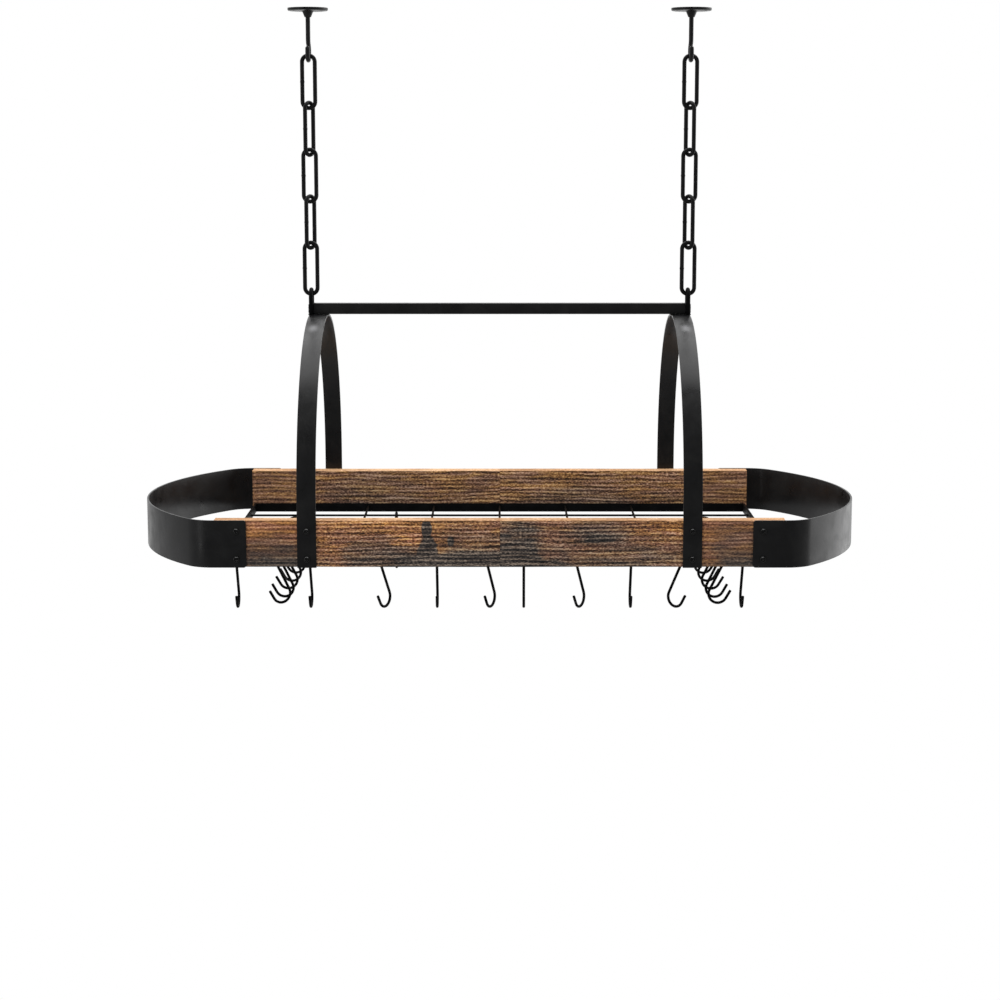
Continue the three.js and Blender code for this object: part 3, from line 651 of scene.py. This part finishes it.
def makeLink():
    weld = [("run", *move) for move in chain["weld"]]
    rest = (chain["straight"] - sum(move[1] for move in weld)) / 2
    turn = ("bend", chain["bendRadius"], 180, chain["step"])
    return bendBar("linkPattern", (chain["wire"],), (0, chain["bendRadius"], -chain["straight"] / 2),
                   (0, 0, 1), (1, 0, 0),
                   [("run", rest), *weld, ("run", rest), turn, ("run", chain["straight"]), turn],
                   sides=20, closed=True)


linkPattern = makeLink()
for sideName, side in (("left", -1), ("right", 1)):
    for i in range(chain["count"]):
        turned = -side * chain["twist"] if i % 2 else 0
        link = copyPiece(linkPattern, f"chain{sideName.title()}Link{i + 1}",
                         (side * chain["x"], 0, chain["firstZ"] - i * chain["pitch"]), 90 + turned)
        handOver(link, f"chain_{sideName}_link_{i + 1}", blackChain)
bpy.data.objects.remove(linkPattern)
print("eyes and chains made")


# Ceiling hooks: a bent wire in a round plate with a boss, whose profile is (drop, width).
ceilingHook = {"x": 209, "wire": 5, "bendRadius": 9, "neckRadius": 6, "seatZ": -53.3, "tip": 155,
               "shankTop": -2, "step": 8, "tipRound": [(0.6, 0.94), (0.5, 0.8), (0.3, 0.55)],
               "plate": 44, "hole": 4.5, "holeDepth": 20, "holeSpacing": 30,
               "profile": [(2, 44), (0.4, 43.65), (0.4, 42.9), (0.2, 41.6), (0, 15), (0.5, 12.6),
                           (1.2, 11.2), (4.6, 7.5), (0.5, 6.6), (0.2, 5)]}


def makeCeilingHook(name, x):
    radius, neckRadius = ceilingHook["bendRadius"], ceilingHook["neckRadius"]
    rise = math.sqrt((radius + neckRadius) ** 2 - neckRadius ** 2)
    join = math.degrees(math.atan2(rise, neckRadius))
    neckZ = ceilingHook["seatZ"] - ceilingHook["wire"] / 2 + radius + rise
    moves = [("run", ceilingHook["shankTop"] - neckZ), ("bend", neckRadius, join, ceilingHook["step"]),
             ("bend", radius, -(join + 360 - ceilingHook["tip"]), ceilingHook["step"])]
    moves += [("run", *move) for move in ceilingHook["tipRound"]]
    wire = bendBar(name, (ceilingHook["wire"],), (x, 0, ceilingHook["shankTop"]), (0, 0, -1), (1, 0, 0),
                   moves, sides=24)
    # plate and boss, drawn out of one disc
    deselectAll()
    bpy.ops.mesh.primitive_circle_add(vertices=64, radius=mm(ceilingHook["plate"]) / 2,
                                      location=mm(x, 0, 0))
    plate = bpy.context.object
    bpy.ops.object.transform_apply(location=True, rotation=True, scale=True)
    bpy.ops.object.mode_set(mode="EDIT")
    bpy.ops.mesh.select_all(action="SELECT")
    size, z = ceilingHook["plate"], 0
    for drop, width in ceilingHook["profile"]:
        bpy.ops.mesh.extrude_region_move(TRANSFORM_OT_translate={"value": mm(0, 0, -drop)})
        z -= drop
        ratio = width / size
        bpy.ops.transform.resize(value=(ratio, ratio, 1), center_override=mm(x, 0, z))
        size = width
    closeShape(plate, smoothAngle=30)
    for place in (-1, 1):  # two fixing holes, cut through
        deselectAll()
        bpy.ops.mesh.primitive_cylinder_add(vertices=32, radius=mm(ceilingHook["hole"]) / 2,
                                            depth=mm(ceilingHook["holeDepth"]),
                                            location=mm(x + place * ceilingHook["holeSpacing"] / 2, 0, 0))
        cutAway(plate, bpy.context.object)
    return joinPieces(name, [plate, wire])


for sideName, side in (("left", -1), ("right", 1)):
    hook = makeCeilingHook("ceilingHook" + sideName.title(), side * ceilingHook["x"])
    handOver(hook, "ceiling_hook_" + sideName, blackSteel)
print("ceiling hooks made")


# Grid: wires in a frame of flat bar, the cross wires run out as pins into the boards. The swellings are
# (run, scale of its end).
grid = {"railThickness": 2.5, "railHeight": 10, "railRound": 0.4, "railY": 171.75, "endX": 294.25,
        "bottom": -583.4, "wire": 2.5, "longZ": -578.8, "longPitch": 57.767, "crossZ": -576.5,
        "crossPitch": 78.9, "pinY": 181.3, "crossNugget": 2.6,
        "crossSwelling": [(0.5, 0.75), (0.6, 1), (0.8, 1), (0.6, 0.75), (0.5, 0.4)],
        "railNugget": 3.1, "nuggetReach": 2.6, "railSwelling": [(0.6, 0.9), (0.8, 1.15)]}


def railNugget(x, y, z, heading):
    return bendBar("nugget", (grid["railNugget"],), (x, y, z), heading, (0, 0, 1),
                   [("run", *move) for move in grid["railSwelling"]], firstScale=0.8, sides=12,
                   smoothAngle=60)


def makeGrid():
    thickness, height, edgeRound = grid["railThickness"], grid["railHeight"], grid["railRound"]
    endX, railY, pinY = grid["endX"], grid["railY"], grid["pinY"]
    longZ, crossZ, railZ = grid["longZ"], grid["crossZ"], grid["bottom"] + height / 2
    parts = []
    for side in (-1, 1):
        parts.append(roundedBox("rail", (2 * endX + thickness, thickness, height), (0, side * railY, railZ),
                                edgeRound))
        parts.append(roundedBox("railEnd", (thickness, 2 * railY, height), (side * endX, 0, railZ),
                                edgeRound))
    longPlaces = [i * grid["longPitch"] for i in range(-2, 3)]
    crossPlaces = [i * grid["crossPitch"] for i in range(-3, 4)]
    for y in longPlaces:
        parts.append(bendBar("longWire", (grid["wire"],), (-endX, y, longZ), (1, 0, 0), (0, 0, 1),
                             [("run", 2 * endX)]))
    for x in crossPlaces:
        parts.append(bendBar("crossWire", (grid["wire"],), (x, -pinY, crossZ), (0, 1, 0), (0, 0, 1),
                             [("run", 2 * pinY)]))
    # resistance welds, where two wires sank into each other and where a wire meets the frame
    swelling = [("run", *move) for move in grid["crossSwelling"]]
    back = sum(move[1] for move in swelling) / 2
    for x in crossPlaces:
        for y in longPlaces:
            parts.append(bendBar("nugget", (grid["crossNugget"],), (x - back, y, (longZ + crossZ) / 2),
                                 (1, 0, 0), (0, 0, 1), swelling, firstScale=0.4, sides=10, smoothAngle=60))
        for side in (-1, 1):
            parts.append(railNugget(x, side * (railY - grid["nuggetReach"]), crossZ, (0, side, 0)))
    for y in longPlaces:
        for side in (-1, 1):
            parts.append(railNugget(side * (endX - grid["nuggetReach"]), y, longZ, (side, 0, 0)))
    return joinPieces("wireGrid", parts)


handOver(makeGrid(), "grid", blackWire)
print("grid made")


# Screws: pan heads with a cross recess, whose profile is (run, scale of its end) from the seat outwards.
screws = {"head": 7, "headHeight": 2.2, "seatScale": 0.96, "shank": 3, "shankLength": 11.2,
          "pointLength": 2.9, "pointScale": 0.12, "sunk": 0.2,
          "recess": 1.1, "recessDepth": 1.3, "recessReach": 4.0, "recessRound": 0.2, "recessTurn": 4,
          "xs": {"strap": 274.5, "arch": 201}, "seats": {"strap": 194.3, "arch": 194.8},
          "zs": {"lower": -574.4, "upper": -544.9},
          "profile": [(0.25, 1.0), (0.45, 1.0), (0.4, 0.97), (0.35, 0.9), (0.3, 0.78), (0.25, 0.6),
                      (0.15, 0.38), (0.05, 0.15)]}


def makeScrew():
    # drawn along -Y: the head's seat lies at y = 0
    head = bendBar("screwPattern", (screws["head"],), (0, 0, 0), (0, -1, 0), (0, 0, 1),
                   [("run", *move) for move in screws["profile"]], firstScale=screws["seatScale"], sides=32,
                   smoothAngle=40)
    for turn in (0, 90):
        blade = roundedBox("recess", (screws["recessReach"], 2 * screws["recessDepth"], screws["recess"]),
                           (0, -screws["headHeight"], 0), screws["recessRound"])
        blade.rotation_euler = (0, math.radians(turn + screws["recessTurn"]), 0)
        choose(blade)
        bpy.ops.object.transform_apply(location=True, rotation=True, scale=True)
        cutAway(head, blade)
    shank = bendBar("shank", (screws["shank"],), (0, -screws["sunk"], 0), (0, 1, 0), (0, 0, 1),
                    [("run", screws["shankLength"]), ("run", screws["pointLength"], screws["pointScale"])])
    return joinPieces("screwPattern", [shank, head])


screwPattern = makeScrew()
for face, faceSide in (("front", -1), ("back", 1)):
    for column, columnX in screws["xs"].items():
        for sideName, side in (("left", -1), ("right", 1)):
            for row, z in screws["zs"].items():
                words = (column, sideName, face, row)
                place = (side * columnX, faceSide * screws["seats"][column], z)
                screw = copyPiece(screwPattern, "screw" + "".join(word.title() for word in words), place,
                                  0 if faceSide < 0 else 180)
                handOver(screw, "_".join(("screw", *words)), blackScrew)
bpy.data.objects.remove(screwPattern)
print("screws made")


# S-hooks: their tips lean outwards and are rounded by (run, scale of its end).
sHooks = {"wire": 3, "bendRadius": 10, "drop": 6.95, "between": 44.9, "step": 9,
          "tip": 10.2, "tipLean": 30, "tipScale": 0.68,
          "tipStart": [(0.25, 0.9), (0.3, 1)], "tipFinish": [(0.3, 0.9), (0.25, 0.68)]}
# Each place is x in mm and y in pitches on a long wire, x in pitches and y in mm on a cross wire, and then
# comes the turn about the hook's own height.
hookPlaces = [
    (-282.9, -2, "long", 0), (-203.8, -2, "long", -1.5), (-124, -2, "long", -31), (-67.4, -2, "long", 0),
    (-9.8, -2, "long", -27), (26.1, -2, "long", -0.6), (86.6, -2, "long", -30), (141.4, -2, "long", 0),
    (190, -2, "long", 46), (261.5, -2, "long", 0), (-121.9, 2, "long", 0),
    (-3, -105.03, "cross", -62), (-3, -71.97, "cross", -96), (-3, -26, "cross", -86), (-3, 18, "cross", -94),
    (-3, 67.97, "cross", -88), (3, -107.03, "cross", 90), (3, -73.97, "cross", 97), (3, -28, "cross", 86),
    (3, 18, "cross", 93), (3, 65.97, "cross", 88)]


def makeSHook():
    radius, tip, step = sHooks["bendRadius"], sHooks["tip"], sHooks["step"]
    lean = math.degrees(math.asin(2 * radius / sHooks["between"]))
    arc = 180 - sHooks["tipLean"] + lean
    outwards, upwards = math.sin(math.radians(sHooks["tipLean"])), math.cos(math.radians(sHooks["tipLean"]))
    startY = radius * upwards + tip * outwards
    startZ = -sHooks["drop"] + radius * outwards - tip * upwards
    shank = 2 * math.sqrt((sHooks["between"] / 2) ** 2 - radius ** 2)
    tipStart = [("run", *move) for move in sHooks["tipStart"]]
    tipFinish = [("run", *move) for move in sHooks["tipFinish"]]
    straight = ("run", tip - sum(move[1] for move in tipStart))
    return bendBar("sHookPattern", (sHooks["wire"],), (0, startY, startZ), (0, -outwards, upwards),
                   (1, 0, 0), [*tipStart, straight, ("bend", radius, arc, step), ("run", shank),
                               ("bend", radius, -arc, step), straight, *tipFinish],
                   firstScale=sHooks["tipScale"], sides=14)


hookPattern = makeSHook()
for i, (x, y, wire, turn) in enumerate(hookPlaces):
    if wire == "long":
        place = (x, y * grid["longPitch"], grid["longZ"])
    else:
        place = (x * grid["crossPitch"], y, grid["crossZ"])
    hook = copyPiece(hookPattern, f"sHook{i + 1:02d}", place, turn)
    handOver(hook, f"s_hook_{i + 1:02d}", blackWire)
bpy.data.objects.remove(hookPattern)
print("S-hooks made")


# Floor, light and camera, in metres. The shine goes from the camera's side to the backdrop.
studio = {"floorZ": -2.45, "floorRadius": 2.9, "floorFade": (1.4, 2.85), "floorColour": "#f2f1ef",
          "backdrop": "#ffffff", "ambient": 0.62,
          "shine": [(0.08, 0.13), (0.5, 0.38), (0.88, 0.5), (0.985, 1.0)],
          "cameraPlace": (0, -2.4547, -0.1565), "cameraDown": 8.932, "lens": 79.37, "sensorWidth": 36,
          "shiftX": 0.0004,
          "lamps": {  # place, turn in degrees, width and height in metres, brightness
              "overheadSoftbox": ((0, 0.75, 1.35), (0, 0, 0), (3.0, 2.4), 2.0),
              "rightSoftbox": ((2.1, 1.1, -0.3), (90, 0, 122), (2.2, 2.2), 1.0),
              "leftStrip": ((-2.0, -1.6, -0.3), (90, 0, -51), (0.35, 1.8), 1.4),
              "frontFill": ((-0.9, -2.4, 1.4), (53, 0, -20), (1.6, 1.0), 7.0),
              "glintStrip": ((-0.3, -2.6, 1.35), (53, 0, 0), (3.2, 0.6), 6.0)}}
deselectAll()
bpy.ops.mesh.primitive_circle_add(vertices=96, radius=studio["floorRadius"], fill_type="NGON",
                                  location=(0, 0, studio["floorZ"]))
floor = bpy.context.object
floor.name = "floor"
bpy.ops.object.transform_apply(location=True, rotation=True, scale=True)
floorPaint, tree, place = newMaterial("paleFloorPaint")
away = addNode(tree, "ShaderNodeVectorMath", {"operation": "MULTIPLY"}, {0: place, 1: (1, 1, 0)})
distance = addNode(tree, "ShaderNodeVectorMath", {"operation": "LENGTH"}, {0: away.outputs[0]})
fadeStart, fadeEnd = [metres * 1000 for metres in studio["floorFade"]]
edge = addNode(tree, "ShaderNodeMapRange", {"interpolation_type": "SMOOTHSTEP"},
               {"Value": distance.outputs["Value"], "From Min": fadeStart, "From Max": fadeEnd,
                "To Min": 0, "To Max": 1})
paint = addNode(tree, "ShaderNodeBsdfPrincipled", None,
                {"Base Color": linear(studio["floorColour"]), "Roughness": 0.9, "Specular IOR Level": 0.1})
clear = addNode(tree, "ShaderNodeBsdfTransparent")
mirrored = addNode(tree, "ShaderNodeLightPath").outputs["Is Glossy Ray"]
unseen = addNode(tree, "ShaderNodeMath", {"operation": "MAXIMUM"}, {0: edge.outputs[0], 1: mirrored})
# the pale floor isn't mirrored in the black steel
finishMaterial(tree, addNode(tree, "ShaderNodeMixShader", None,
                             {0: unseen.outputs[0], 1: paint.outputs[0], 2: clear.outputs[0]}))
floor.data.materials.append(floorPaint)

world = bpy.data.worlds.new("studioWorld")
bpy.context.scene.world = world
world.use_nodes = True
tree = world.node_tree
tree.nodes.clear()
rays = addNode(tree, "ShaderNodeLightPath")
seen = addNode(tree, "ShaderNodeMath", {"operation": "MAXIMUM"},
               {0: rays.outputs["Is Camera Ray"], 1: rays.outputs["Is Transmission Ray"]})
plain = addNode(tree, "ShaderNodeMapRange", None,
                {"Value": seen.outputs[0], "To Min": studio["ambient"], "To Max": 1.0})
heading = addNode(tree, "ShaderNodeTexCoord").outputs["Generated"]
direction = addNode(tree, "ShaderNodeSeparateXYZ", None, {0: heading})
depth = addNode(tree, "ShaderNodeMapRange", None,
                {"Value": direction.outputs["Y"], "From Min": -1.0, "From Max": 1.0})
shine = addNode(tree, "ShaderNodeValToRGB", None, {"Fac": depth.outputs[0]}, studio["shine"])
strength = addNode(tree, "ShaderNodeMix", {"data_type": "FLOAT"},
                   {0: rays.outputs["Is Glossy Ray"], 2: plain.outputs[0], 3: shine.outputs[0]})
sky = addNode(tree, "ShaderNodeBackground", None,
              {"Color": linear(studio["backdrop"]), "Strength": strength.outputs[0]})
addNode(tree, "ShaderNodeOutputWorld", None, {"Surface": sky.outputs[0]})

for lampName, (lampPlace, lampTurn, lampSize, brightness) in studio["lamps"].items():
    lamp = bpy.data.objects.new(lampName, bpy.data.lights.new(lampName, "AREA"))
    bpy.context.scene.collection.objects.link(lamp)
    lamp.location = lampPlace
    lamp.rotation_euler = [math.radians(angle) for angle in lampTurn]
    lamp.data.shape = "RECTANGLE"
    lamp.data.size, lamp.data.size_y = lampSize
    lamp.data.energy = brightness * math.pi * lampSize[0] * lampSize[1]
    lamp.visible_camera = False
    lamp.visible_glossy = lampName != "frontFill"  # the fill leaves no spot on the black steel
    if lampName == "glintStrip":  # a thin line of light on the screw heads alone
        screwHeads = bpy.data.collections.new("screwHeads")
        for piece in bpy.data.objects:
            if piece.type == "MESH" and blackScrew in list(piece.data.materials):
                screwHeads.objects.link(piece)
        lamp.light_linking.receiver_collection = screwHeads

camera = bpy.data.objects.new("camera", bpy.data.cameras.new("camera"))
bpy.context.scene.collection.objects.link(camera)
camera.location = studio["cameraPlace"]
camera.rotation_euler = (math.radians(90 - studio["cameraDown"]), 0, 0)
camera.data.lens = studio["lens"]
camera.data.sensor_width = studio["sensorWidth"]
camera.data.shift_x = studio["shiftX"]
bpy.context.scene.camera = camera
bpy.context.scene.view_settings.view_transform = "Standard"
print("stage, light and camera made")
